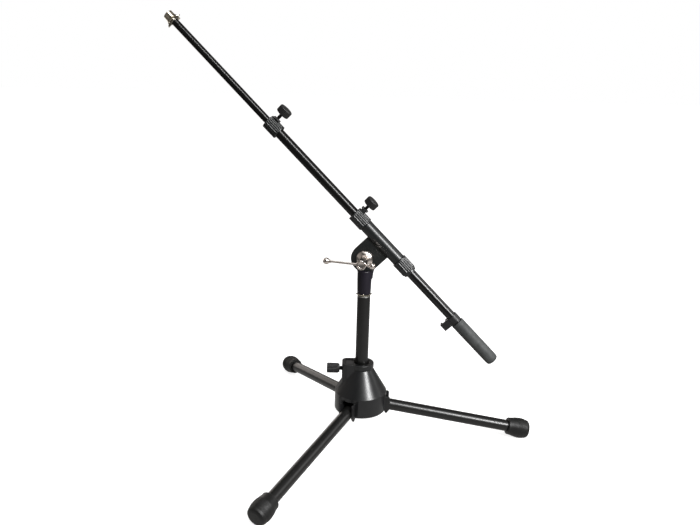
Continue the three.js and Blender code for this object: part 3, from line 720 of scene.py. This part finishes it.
def build_bolt():
    dome = [(0, -27)] + arc(0, -20.9, 6.1, -80, -32, 8)
    dome += [(5.9, -23.2), (8.66, -22.3), (8.66, -18.1), (7.6, -17.3)]
    dome += [(BOLT_HOLE_R, -17.3), (BOLT_HOLE_R, -24), (0, -24)]
    dome = lathe(fillet(dome, 0.15), 144, radius_at=hexagonal(15))
    piece("bolt_dome_nut_fine", "swivel", dome, PIVOT @ FORWARD, chrome, ["bolt_dome_nut"])

    washer = [(BOLT_HOLE_R, 4.8), (13.4, 4.8, 0.3), (14.2, 5.5, 0.4), (13.8, 6.9, 0.8), (12.6, 8.4, 2),
              (10.6, 9.9, 3), (8.8, 11.0, 1.5), (7.6, 11.6, 0.5), (BOLT_HOLE_R, 11.6)]
    piece("dish_washer_fine", "boom_holder", lathe(fillet(washer, 0.2, 6, closed=True), 128, closed=True),
          PIVOT @ FORWARD, chrome, ["dish_washer"])

    bolt = [(0, -23), (BOLT_R, -23), (BOLT_R, 11.9), (7.2, 11.9, 0.3), (8, 12.8, 0.5), (8, 44.8, 0.8),
            (7.0, 46, 0.4), (5.6, 46, 0.4), (4.6, 44.6, 0.8), (0, 44.2)]
    bar_hole = placed(rod(2.25, -15, 15, 48, 0), moved(0, -BAR_AT, 0) @ turned(BAR_TILT, "Y") @ ALONG_X)
    bolt = combine(placed(lathe(fillet(bolt, 0.3), 128), FORWARD), [("DIFFERENCE", bar_hole)])
    piece("clamp_bolt_fine", "clamp_bolt", bolt, PIVOT, chrome, ["clamp_bolt"], sharp=45)

    piece("clamp_bar_fine", "clamp_bar", rod(BAR_R, -56.7, 17.2, 64), BAR @ ALONG_X, chrome,
          ["clamp_bar"])
    for name, radius, at, neck, inward in (("left", 5.6, LEFT_BALL_AT, 2.9, 1),
                                           ("right", 5.2, RIGHT_BALL_AT, 3.1, -1)):
        start = math.degrees(math.asin(neck / radius))
        ball = arc(0, 0, radius, -90, 90 - start, 40)
        ball += [(neck, radius + 1.4), (neck - 0.4, radius + 1.8), (2.15, radius + 1.8), (2.15, -0.9),
                 (0, -0.9)]
        ball[0] = (0, -radius)
        turn = ALONG_X if inward > 0 else turned(-math.pi / 2, "Y")
        piece(f"bar_ball_{name}_fine", "clamp_bar", lathe(ball, 96), BAR @ moved(at) @ turn, chrome,
              [f"bar_ball_{name}"])


# ---- Boom ----


def ribbed(radius, depth, count, ends, flat):
    """A radius with lengthwise ribs that run out before the ends."""
    def radius_at(r, z, a):
        if r < radius - 0.7:
            return r
        along = min(1.0, max(0.0, min(z - ends[0] - flat, ends[1] - flat - z) / 0.9))
        valley = (0.5 + 0.5 * math.cos(count * a)) ** 3
        return r - depth * valley * along
    return radius_at


def collar_outline(radius, ends, bore, lip_bore, lip, stations=26):
    """A collar's section with its closed lip at the low end."""
    low, high = ends
    outside = [(radius - 0.9, low), (radius - 0.2, low + 0.35), (radius, low + 1.0)]
    outside += [(radius, low + 1.0 + (high - low - 2.0) * k / stations) for k in range(1, stations)]
    outside += [(radius, high - 1.0), (radius - 0.2, high - 0.35), (radius - 0.9, high)]
    return [(lip_bore, low + lip), (lip_bore, low)] + outside + [(bore, high), (bore, low + lip)]


def ribbed_collar(radius, ends, bore, lip_bore, rib_depth):
    outline = collar_outline(radius, ends, bore, lip_bore, COLLAR_LIP)
    ribs = ribbed(radius, rib_depth, COLLAR_RIBS, ends, RIB_FLAT)
    return lathe(outline, 240, closed=True, radius_at=ribs)


def knob_outline(bottom):
    rows = [(3.3, 7.5), (3.3, 0), (5.0, 0, 0.4), (10.5, 0.45, 0.7), (KNOB_R, 1.5, 0.8), (KNOB_R, 11.0, 1.1),
            (10.2, 12.2, 1.2), (5, 12.9, 3), (0, 13)]
    return fillet([(r, bottom + z, *rest) for r, z, *rest in rows], 0.3, 7)


def build_knob(name, body, screw_name, screw_from, at, bottom):
    """A fluted knob whose underside is this high above the boom's axis, with its screw."""
    outline = [(0, bottom + 7.5)] + knob_outline(bottom)
    shape = lathe(outline, 240, radius_at=only_outside(10, fluted(30, 0.3)))
    piece(f"{name}_fine", body, shape, BOOM @ moved(at), plastic_black, [name])
    screw = threaded_rod(CLAMP_SCREW_R, screw_from, bottom + 7.2, 1.0, 0.45)
    piece(f"{screw_name}_fine", body, screw, BOOM @ moved(at), black_steel, [screw_name])


def ear_plate(at, width, low, high):
    plate = prism(box_outline(at - 6.3, -width / 2, at + 6.3, width / 2, 1.6), low, high, 0.35)
    return combine(plate, [("DIFFERENCE", placed(rod(SCREW_HOLE_R, low - 3, high + 3, 48, 0), moved(at)))])


def build_holder():
    fin = arc(0, 0, FIN_R, 180, 360, 60) + [(FIN_R, 34.5), (-FIN_R, 34.5)]
    plate = placed(prism(fin, -FIN_HALF_THICKNESS, FIN_HALF_THICKNESS, 1.3, 2), FORWARD)
    sleeve = placed(rod(SLEEVE_R, *SLEEVE_ENDS, 128, 0.8), moved(z=BOOM_OFFSET) @ ALONG_X)
    spigot = placed(rod(SPIGOT_R, *SPIGOT_ENDS, 96, 0.4), moved(z=BOOM_OFFSET) @ ALONG_X)
    bore = placed(rod(8.45, -60, 60, 96, 0), moved(z=BOOM_OFFSET) @ ALONG_X)
    bolt_hole = placed(rod(BOLT_HOLE_R, -10, 10, 64, 0), FORWARD)
    steps = [("UNION", sleeve), ("UNION", spigot), ("DIFFERENCE", bore), ("DIFFERENCE", bolt_hole)]
    holder = combine(plate, steps)
    piece("boom_holder_fine", "boom_holder", holder, HOLDER, holder_black, ["boom_holder"])


def build_holder_collars():
    upper = ribbed_collar(HOLDER_COLLAR_R, UPPER_COLLAR_ENDS, 10.2, 8.6, 0.75)
    boss = prism(box_outline(-64.1, -5, -54.9, 5, 1.5), 10.4, 15.7, 0.5)
    hole = placed(rod(SCREW_HOLE_R, 0, 30, 48, 0), moved(HOLDER_KNOB_AT))
    upper = combine(placed(upper, ALONG_X), [("UNION", boss), ("DIFFERENCE", hole)])
    piece("upper_collar_fine", "boom_holder", upper, BOOM, collar_grey, ["upper_collar"])

    lower = ribbed_collar(HOLDER_COLLAR_R, LOWER_COLLAR_ENDS, 10.2, 8.6, 0.75)
    lip = pipe(11.3, 8.6, -67.7, -63.5, 128, 0.7)
    lower = combine(lower, [("UNION", lip)])
    piece("lower_collar_fine", "boom_holder", lower, BOOM @ turned(-math.pi / 2, "Y"), collar_grey,
          ["lower_collar"])
    piece("holder_nut_plate_fine", "boom_holder", ear_plate(HOLDER_KNOB_AT, 11, 16, 18.2), BOOM, black_steel,
          ["holder_nut_plate"])
    build_knob("holder_knob", "holder_knob", "holder_clamp_screw", 10.2, HOLDER_KNOB_AT, HOLDER_KNOB_BOTTOM)


def build_outer_boom():
    tube = pipe(OUTER_TUBE_R, OUTER_TUBE_BORE_R, *OUTER_TUBE_ENDS, 128, 0.3)
    piece("boom_outer_tube_fine", "boom_outer", tube, BOOM @ ALONG_X, gloss_black,
          ["boom_outer_tube"])
    collar = ribbed_collar(BOOM_COLLAR_R, BOOM_COLLAR_ENDS, 8.3, 6.6, 0.7)
    hole = placed(rod(SCREW_HOLE_R, 0, 30, 48, 0), moved(BOOM_KNOB_AT))
    collar = combine(placed(collar, ALONG_X), [("DIFFERENCE", hole)])
    piece("boom_collar_fine", "boom_outer", collar, BOOM, collar_grey, ["boom_collar"])
    piece("boom_nut_plate_fine", "boom_outer", ear_plate(BOOM_KNOB_AT, 9.5, 12.2, 13.8), BOOM, black_steel,
          ["boom_nut_plate"])
    build_knob("boom_knob", "boom_knob", "boom_clamp_screw", 8.3, BOOM_KNOB_AT, BOOM_KNOB_BOTTOM)


def build_grip():
    start, end = GRIP_ENDS
    grip = [(0, 267.4), (8.9, 267.4), (8.9, start), (10.4, start, 0.4), (11, 182.4, 0.6), (10.8, 264, 2),
            (10.1, 268.6, 2.2), (7.6, end, 1.8), (0, end)]
    outline = []
    rounded = fillet(grip, 0.3, 8)
    for (r0, z0), (r1, z1) in zip(rounded, rounded[1:]):
        steps = max(1, int(math.hypot(r1 - r0, z1 - z0) / 1.5))
        outline += [(r0 + (r1 - r0) * k / steps, z0 + (z1 - z0) * k / steps) for k in range(steps)]
    outline.append(rounded[-1])
    piece("counterweight_grip_fine", "boom_outer", lathe(outline, 128), BOOM @ ALONG_X, grip_rubber,
          ["counterweight_grip"])


def build_cable_clip():
    turn = ALONG_X @ turned(math.pi / 2, "Z")
    clip = arc(0, 0, 9.6, -42.6, 222.6, 60) + [(-6.5, -23.5), (6.5, -23.5)]
    clip = fillet([(x, y, 1.3 if y < -20 else 0) for x, y in clip], 0, 5, closed=True)
    clip = placed(prism(clip, *CLIP_ENDS, 0.5), turn)
    channel = fillet([(-8.5, -12.9), (-8.5, -20.9), (2.8, -20.9, 2.6), (2.8, -12.9, 2.6)], 0, 6, closed=True)
    channel = placed(prism([(-x, y) for x, y in reversed(channel)], 160, 186, 0), turn)
    bore = placed(rod(8.25, 160, 186, 96, 0), ALONG_X)
    clip = combine(clip, [("DIFFERENCE", bore), ("DIFFERENCE", channel)])
    piece("cable_clip_fine", "cable_clip", clip, BOOM, plastic_black, ["cable_clip"])


def build_inner_boom():
    tube = pipe(INNER_TUBE_R, INNER_TUBE_BORE_R, *INNER_TUBE_ENDS, 96, 0.3)
    piece("boom_inner_tube_fine", "boom_inner", tube, BOOM @ ALONG_X, gloss_black,
          ["boom_inner_tube"])
    stud = [(0, -494.5), (STUD_R, -494.5, 0.6), (STUD_R, -482.0), (INNER_TUBE_R, -482.0, 0.3),
            (INNER_TUBE_R, -480.8, 0.3), (STUD_R, -480.8), (STUD_R, -462), (0, -462)]
    piece("tip_stud_fine", "boom_inner", lathe(fillet(stud, 0.1)), BOOM @ ALONG_X, zinc,
          ["tip_stud"])
    piece("tip_star_nut_fine", "tip_star_nut", star_nut(-484.6), BOOM @ ALONG_X, nickel,
          ["tip_star_nut"])


def build_adapter():
    tip, foot = ADAPTER_ENDS
    rows = 72
    thread = [(ADAPTER_R, -496.2 + 8.1 * k / rows) for k in range(rows + 1)]
    adapter = [(4.95, tip), (7.0, tip), (7.35, -496.7)] + thread
    adapter += [(7.4, -487.95), (8.6, -487.9), (8.8, -487.7), (8.8, -485.2), (8.5, foot), (4.95, foot)]
    cut = thread_radius(0.94, 0.14)
    shape = lathe(adapter, 96, closed=True, radius_at=lambda r, z, a: cut(r, z, a) if 7.8 < r < 8.1 else r)
    piece("thread_adapter_fine", "thread_adapter", shape, BOOM @ ALONG_X, nickel,
          ["thread_adapter"])


build_base()
build_legs()
build_pole()
build_swivel()
build_bolt()
build_holder()
build_holder_collars()
build_outer_boom()
build_grip()
build_cable_clip()
build_inner_boom()
build_adapter()

kept_nodes = {
    "base_pressure_pad": plastic_black,
    "pole_foot_plug": plastic_black,
    "upper_bush": plastic_black,
    "lower_bush": plastic_black,
    "boom_bush": plastic_black,
    "inner_tube_guide": plastic_black,
    "counterweight": zinc,
}
for name, material in kept_nodes.items():
    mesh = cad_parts[name].data
    mesh.materials.clear()
    mesh.materials.append(material)

# ---- Floor, lights and camera ----


def seen_by_camera(material_nodes, links, seen, unseen, target):
    """Shows the camera one shader and everything else another."""
    rays = material_nodes.new("ShaderNodeLightPath")
    pick = material_nodes.new("ShaderNodeMixShader")
    links.new(rays.outputs["Is Camera Ray"], pick.inputs["Fac"])
    links.new(unseen, pick.inputs[1])
    links.new(seen, pick.inputs[2])
    links.new(pick.outputs[0], target)


floor = mesh_object("floor", ([(-30, -30, 0), (30, -30, 0), (30, 30, 0), (-30, 30, 0)], [[0, 1, 2, 3]]))
floor_material, floor_shader = new_material("floor")
floor_nodes, floor_links = floor_material.node_tree.nodes, floor_material.node_tree.links
tone = remap(floor_material, noise(floor_material, 2.0), 0, 1)
pale = blend_colours(floor_material, tone, (0.52, 0.52, 0.52), (0.55, 0.55, 0.55))
floor_links.new(pale, floor_shader.inputs["Base Color"])
floor_shader.inputs["Roughness"].default_value = 0.9
floor_shader.inputs["Specular IOR Level"].default_value = 0.1
floor_shader.inputs["Emission Color"].default_value = (1, 1, 1, 1)
floor_shader.inputs["Emission Strength"].default_value = 0.86
floor_place = floor_nodes.new("ShaderNodeTexCoord")
floor_distance = floor_nodes.new("ShaderNodeVectorMath")
floor_distance.operation = "DISTANCE"
floor_distance.inputs[1].default_value = (0.15, -0.15, 0)
floor_links.new(floor_place.outputs["Object"], floor_distance.inputs[0])
floor_glow = floor_nodes.new("ShaderNodeEmission")
floor_glow.inputs["Color"].default_value = (1.0, 0.98, 0.96, 1)
floor_links.new(remap(floor_material, floor_distance.outputs["Value"], 0.62, 0.09, 0.3, 1.1),
                floor_glow.inputs["Strength"])
seen_by_camera(floor_nodes, floor_links, floor_shader.outputs["BSDF"], floor_glow.outputs[0],
               next(n for n in floor_nodes if n.type == "OUTPUT_MATERIAL").inputs["Surface"])
floor.data.materials.append(floor_material)

world = bpy.data.worlds.new("studio")
bpy.context.scene.world = world
world.use_nodes = True
world_nodes, world_links = world.node_tree.nodes, world.node_tree.links
world_nodes.clear()
world_output = world_nodes.new("ShaderNodeOutputWorld")
backdrop = world_nodes.new("ShaderNodeBackground")
backdrop.inputs["Color"].default_value = (1, 1, 1, 1)
backdrop.inputs["Strength"].default_value = 1.0
ambient = world_nodes.new("ShaderNodeBackground")
ambient.inputs["Color"].default_value = (1.0, 0.94, 0.90, 1)
towards = world_nodes.new("ShaderNodeTexCoord")
split = world_nodes.new("ShaderNodeSeparateXYZ")
world_links.new(towards.outputs["Generated"], split.inputs[0])
sideways = world_nodes.new("ShaderNodeMath")
sideways.operation = "ABSOLUTE"
world_links.new(split.outputs["X"], sideways.inputs[0])
side_glow = remap(world, sideways.outputs[0], 0.05, 0.34, 0.45, 0.95)
rear_glow = remap(world, split.outputs["Y"], 0.0, 0.26, 0.6, 0.95)
both_glows = world_nodes.new("ShaderNodeMath")
both_glows.operation = "ADD"
world_links.new(side_glow, both_glows.inputs[0])
world_links.new(rear_glow, both_glows.inputs[1])
world_links.new(both_glows.outputs[0], ambient.inputs["Strength"])
seen_by_camera(world_nodes, world_links, backdrop.outputs[0], ambient.outputs[0],
               world_output.inputs["Surface"])


def area_light(name, place, rotation, size, power, colour=(1, 1, 1)):
    data = bpy.data.lights.new(name, "AREA")
    data.shape = "RECTANGLE"
    data.size, data.size_y = size
    data.energy = power
    data.color = colour
    light = bpy.data.objects.new(name, data)
    bpy.context.scene.collection.objects.link(light)
    light.location = place
    light.rotation_mode = "QUATERNION"
    light.visible_camera = False
    light.rotation_quaternion = rotation


def softbox(name, place, target, size, power, colour=(1, 1, 1)):
    """A rectangular light that faces its target."""
    facing = (Vector(place) - Vector(target)).to_track_quat("Z", "Y")
    area_light(name, place, facing, size, power, colour)


top = bpy.data.lights.new("overhead", "SUN")
top.energy = 0.8
top.angle = math.radians(50)
top_object = bpy.data.objects.new("overhead", top)
bpy.context.scene.collection.objects.link(top_object)
top_object.rotation_euler = (math.radians(8), math.radians(-6), 0)
softbox("key_light", (1.17, -1.2, 1.18), (0.01, 0, 0.1), (0.5, 0.7), 34)
softbox("side_light", (1.6, 0.25, 0.95), (-0.05, -0.1, 0.05), (1.0, 0.8), 5)
softbox("back_light", (-0.985, 1.53, 0.38), (-0.05, 0.12, 0.04), (1.5, 0.7), 6.5, (1, 0.93, 0.88))

# A long light parallel to the boom, so that its highlight runs the boom's whole length, in metres
STRIP_FORWARD, STRIP_ABOVE, STRIP_UP_THE_BOOM = 1.06, 1.58, 0.27
boom_turn = BOOM.to_3x3()
along, behind, above = ((boom_turn @ Vector(axis)).normalized() for axis in ((1, 0, 0), (0, 1, 0), (0, 0, 1)))
from_boom = above * STRIP_ABOVE - behind * STRIP_FORWARD
facing = from_boom.normalized()
strip_turn = Matrix((along, facing.cross(along), facing)).transposed().to_quaternion()
strip_place = PIVOT.translation + from_boom - along * STRIP_UP_THE_BOOM
area_light("strip_light", strip_place, strip_turn, (1.7, 0.2), 44)

CAMERA_FROM_POLE = Vector((-0.02479, -1.02760, 0.60089))  # in metres, before the turn
CAMERA_TURN = Matrix.Rotation(math.radians(-0.53), 3, "Z")
CAMERA_ELEVATION = math.radians(15.53)
CAMERA_ROLL = math.radians(1.58)
SENSOR_WIDTH = 36
LENS = 33.0942857
right = Vector((1, 0, 0))
back = Vector((0, -math.cos(CAMERA_ELEVATION), math.sin(CAMERA_ELEVATION)))
up = back.cross(right)
rolled_right = right * math.cos(CAMERA_ROLL) + up * math.sin(CAMERA_ROLL)
rolled_up = up * math.cos(CAMERA_ROLL) - right * math.sin(CAMERA_ROLL)
camera_data = bpy.data.cameras.new("camera")
camera_data.lens = LENS
camera_data.sensor_width = SENSOR_WIDTH
camera = bpy.data.objects.new("camera", camera_data)
bpy.context.scene.collection.objects.link(camera)
axes = Matrix((rolled_right, rolled_up, back)).transposed()
camera.matrix_world = (
    Matrix.Translation(CAMERA_TURN @ CAMERA_FROM_POLE + Vector((AXIS_X / 1000, 0, 0)))
    @ (CAMERA_TURN @ axes).to_4x4()
)
bpy.context.scene.camera = camera
bpy.context.scene.view_settings.view_transform = "Standard"

bpy.context.view_layer.update()
